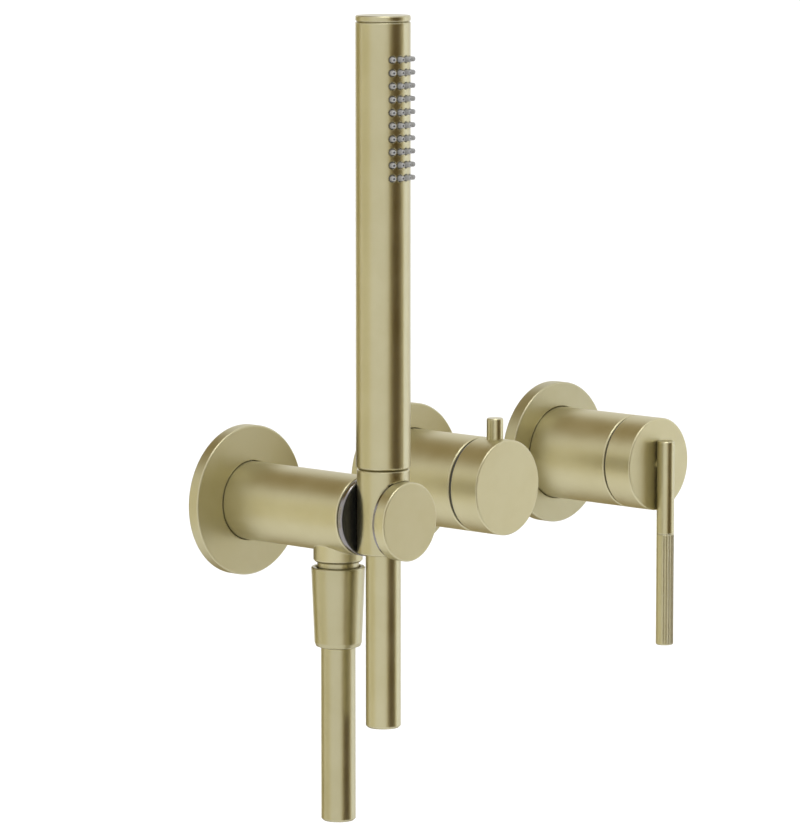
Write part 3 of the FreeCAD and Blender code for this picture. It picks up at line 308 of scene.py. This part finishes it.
def dress_dark_and_grey_pieces():
    """Disc, washer, rings and nozzles, which show beside the brass."""
    polished_disc = black_disc("polished_black_disc", OUTLET, DISC_RADIUS)
    dark_chrome = plain_metal("dark_chrome", (0.22, 0.205, 0.20), roughness=0.22)
    black_plastic = moulded("black_plastic", (0.010, 0.010, 0.010), roughness=0.35, grain=1500.0)
    grey_ring = moulded("grey_ring", (0.055, 0.053, 0.050), roughness=0.42, grain=2500.0)
    silicone = moulded("grey_silicone", (0.27, 0.265, 0.255), roughness=0.45, grain=2200.0)
    dress(["friction_disc"], polished_disc)
    dress(["holder_front_washer"], dark_chrome)
    dress(["holder_bush"], black_plastic)
    dress(["diverter_glide_ring", "mixer_glide_ring"], grey_ring)
    dress(["handset_nozzle_strip"], silicone)


def dress_inner_pieces():
    """Pieces inside get the finish that their name stands for."""
    bare_brass = plain_metal("bare_brass", (0.62, 0.46, 0.20), roughness=0.34)
    nickel = plain_metal("pale_nickel_plate", (0.78, 0.74, 0.64), roughness=0.34)
    steel = plain_metal("stainless_steel", (0.55, 0.55, 0.54), roughness=0.30)
    rubber = moulded("seal_rubber", (0.016, 0.012, 0.006), roughness=0.55, grain=1800.0, depth=COARSE_SKIN)
    white_plastic = moulded("white_plastic", (0.70, 0.69, 0.66), roughness=0.40, grain=1500.0)
    for name in nodes:
        if "seal" in name or name.endswith("_rings") or name == "outlet_hose_washer":
            dress([name], rubber)
        elif name.endswith(("_screw", "_clip")) or name == "holder_wave_washer":
            dress([name], steel)
        elif name.endswith(("_barrel", "_adapter")):
            dress([name], nickel)
        elif name.endswith(("_ferrule", "_connector", "_ring_nut", "_spindle")):
            dress([name], bare_brass)
        elif name.endswith(("_cartridge", "_filter", "_waterway", "_check_valve")):
            dress([name], white_plastic)


# Camera, solved from the outline in the photo: place, angles, focal length and picture height in
# pixels, and sensor in millimetres
CAMERA_AT = Vector((-1.5706, -1.4333, 0.3073))
CAMERA_AZIMUTH = math.radians(-47.61)
CAMERA_TILT = math.radians(7.55)
FOCAL_PIXELS = 4788.77
PHOTO_HEIGHT = 835
SENSOR = 36.0
FAR_CLIP = 100


def camera():
    """Camera at the photo's place and angle."""
    right = Vector((math.cos(CAMERA_AZIMUTH), math.sin(CAMERA_AZIMUTH), 0))
    back = Vector((math.sin(CAMERA_AZIMUTH) * math.cos(CAMERA_TILT),
                   -math.cos(CAMERA_AZIMUTH) * math.cos(CAMERA_TILT), math.sin(CAMERA_TILT)))
    up = back.cross(right)
    data = bpy.data.cameras.new("camera")
    data.sensor_fit = "VERTICAL"
    data.sensor_height = SENSOR
    data.lens = FOCAL_PIXELS / PHOTO_HEIGHT * SENSOR
    data.clip_end = FAR_CLIP
    taker = bpy.data.objects.new("camera", data)
    taker.matrix_world = Matrix.Translation(CAMERA_AT) @ Matrix((right, up, back)).transposed().to_4x4()
    bpy.context.scene.collection.objects.link(taker)
    bpy.context.scene.camera = taker


# Floor and studio cards
FLOOR_Z = -1.2
FLOOR_SIZE = 80
FLOOR_COLOURS = (0.90, 0.905, 0.92), (0.93, 0.935, 0.95)
LOW_CARD_SIZE = 4.4
LOW_CARD_AT = (1.6, 1.8, FLOOR_Z + 0.002)
LOW_CARD_COLOUR = (0.24, 0.17, 0.04)
# Distances from its middle, in shares of its size, where its colour starts and where it is full
LOW_CARD_RIM, LOW_CARD_CORE = 0.48, 0.25
UPRIGHT = math.radians(90)

# Shares of a card's width from its middle, between which it fades to the colour of its sides
CARD_CORE, CARD_RIM = 0.20, 0.5
CARD_SIDE = (0.80, 0.70, 0.42)
CARD_GLOW = (0.94, 0.99, 1.16)


def floor_colour(look, place):
    """Pale colour with a faint cloud."""
    return look.mix(look.noise(place, scale=3.0, detail=2.0), *[opaque(colour) for colour in FLOOR_COLOURS])


def floor():
    """Plain pale floor."""
    bpy.ops.mesh.primitive_plane_add(size=FLOOR_SIZE, location=(0, 0, FLOOR_Z))
    ground = bpy.context.object
    ground.name = "floor"
    look = Look("pale_floor")
    look.colour(floor_colour(look, look.place()))
    look.matt(roughness=0.9, specular=0.1)
    ground.data.materials.append(look.material)


def card(name, size, place, rotation, material):
    """Studio card that shows in the metal alone."""
    bpy.ops.mesh.primitive_plane_add(size=1, location=place, rotation=rotation)
    made = bpy.context.object
    made.name = name
    made.scale = (size[0], size[1], 1)
    made.data.materials.append(material)
    made.visible_camera = False
    made.visible_diffuse = False
    made.visible_shadow = False


def low_card():
    """Card on the floor behind the wall, which darkens the undersides of the bodies."""
    look = Look("low_card")
    place = look.place()
    away = look.node("ShaderNodeVectorMath", {0: place}, operation="LENGTH").outputs["Value"]
    middle = look.ramp(away, LOW_CARD_RIM, LOW_CARD_CORE)
    look.colour(look.mix(middle, floor_colour(look, place), opaque(LOW_CARD_COLOUR)))
    look.matt(roughness=0.9, specular=0.1)
    card("low_card", (LOW_CARD_SIZE, LOW_CARD_SIZE), LOW_CARD_AT, (0, 0, 0), look.material)


def upright_card(name, bearing, distance, width, top, colours, glow):
    """Card that stands on the floor and faces the mixer, at a bearing in degrees from the camera."""
    look = Look(name)
    place = look.place()
    weave = look.mix(look.noise(place, scale=60.0, detail=3.0), *[opaque(colour) for colour in colours])
    across = look.node("ShaderNodeSeparateXYZ", {0: place}).outputs["X"]
    side = look.ramp(look.math("ABSOLUTE", across), CARD_CORE, CARD_RIM)
    look.colour(look.mix(side, weave, opaque(CARD_SIDE)))
    look.matt(roughness=0.95, specular=0.0)
    look.shader.inputs["Emission Color"].default_value = CARD_GLOW + (1,)
    look.shader.inputs["Emission Strength"].default_value = glow
    turn = CAMERA_AZIMUTH + math.radians(bearing)
    spot = (distance * math.sin(turn), -distance * math.cos(turn), (FLOOR_Z + top) / 2)
    card(name, (width, top - FLOOR_Z), spot, (UPRIGHT, 0, turn), look.material)


def cards():
    """The dark card draws the dark streak on upright tubes, the grey and back ones dim their left
    side and the bright one lights all faces that look away from the wall."""
    upright_card("dark_card", bearing=55.0, distance=2.2, width=2.9, top=1.4,
                 colours=[(0.095, 0.052, 0.0), (0.105, 0.060, 0.0)], glow=0.0)
    upright_card("grey_card", bearing=-75.0, distance=2.5, width=1.9, top=0.9,
                 colours=[(0.69, 0.65, 0.46), (0.745, 0.705, 0.50)], glow=0.18)
    upright_card("bright_card", bearing=108.0, distance=2.4, width=1.5, top=1.2,
                 colours=[(0.80, 0.86, 1.0), (0.85, 0.91, 1.0)], glow=0.60)
    upright_card("back_card", bearing=-127.0, distance=2.5, width=1.9, top=0.9,
                 colours=[(0.44, 0.38, 0.18), (0.48, 0.42, 0.20)], glow=0.0)


# Light
SKY_WHITE = (1.0, 1.0, 1.0)
SKY_STRENGTH = 1.05
DIM_COLOUR = (0.29, 0.20, 0.04)
DIM_TOWARDS = Vector((-0.06, 0.66, 0.75)).normalized()
# Cosines of the angle from the middle of the dim zone, where it starts and where it is full
DIM_STARTS, DIM_FULL = 0.83, 0.955
KEY_FROM = Vector((-0.13, -0.20, 0.97))
KEY_COLOUR = (0.92, 0.96, 1.0)
KEY_ENERGY = 1.1
KEY_ANGLE = math.radians(27)


def surround():
    """Bright surround, dim and warm high up behind the wall."""
    world = bpy.data.worlds.new("studio")
    bpy.context.scene.world = world
    world.use_nodes = True
    sky = Nodes(world.node_tree)
    direction = sky.node("ShaderNodeTexCoord").outputs["Generated"]
    dim = sky.ramp(sky.dot(direction, DIM_TOWARDS), DIM_STARTS, DIM_FULL)
    background = sky.tree.nodes["Background"]
    sky.feed(background.inputs["Color"], sky.mix(dim, opaque(SKY_WHITE), opaque(DIM_COLOUR)))
    background.inputs["Strength"].default_value = SKY_STRENGTH


def key_light():
    """Soft key for floor and plastics."""
    key = bpy.data.lights.new("key", "SUN")
    key.energy = KEY_ENERGY
    key.color = KEY_COLOUR
    key.angle = KEY_ANGLE
    lamp = bpy.data.objects.new("key", key)
    lamp.rotation_euler = KEY_FROM.to_track_quat("Z", "Y").to_euler()
    bpy.context.scene.collection.objects.link(lamp)


dress_brass_pieces()
dress_dark_and_grey_pieces()
dress_inner_pieces()
floor()
low_card()
cards()
camera()
surround()
key_light()
bpy.context.scene.view_settings.view_transform = "Standard"
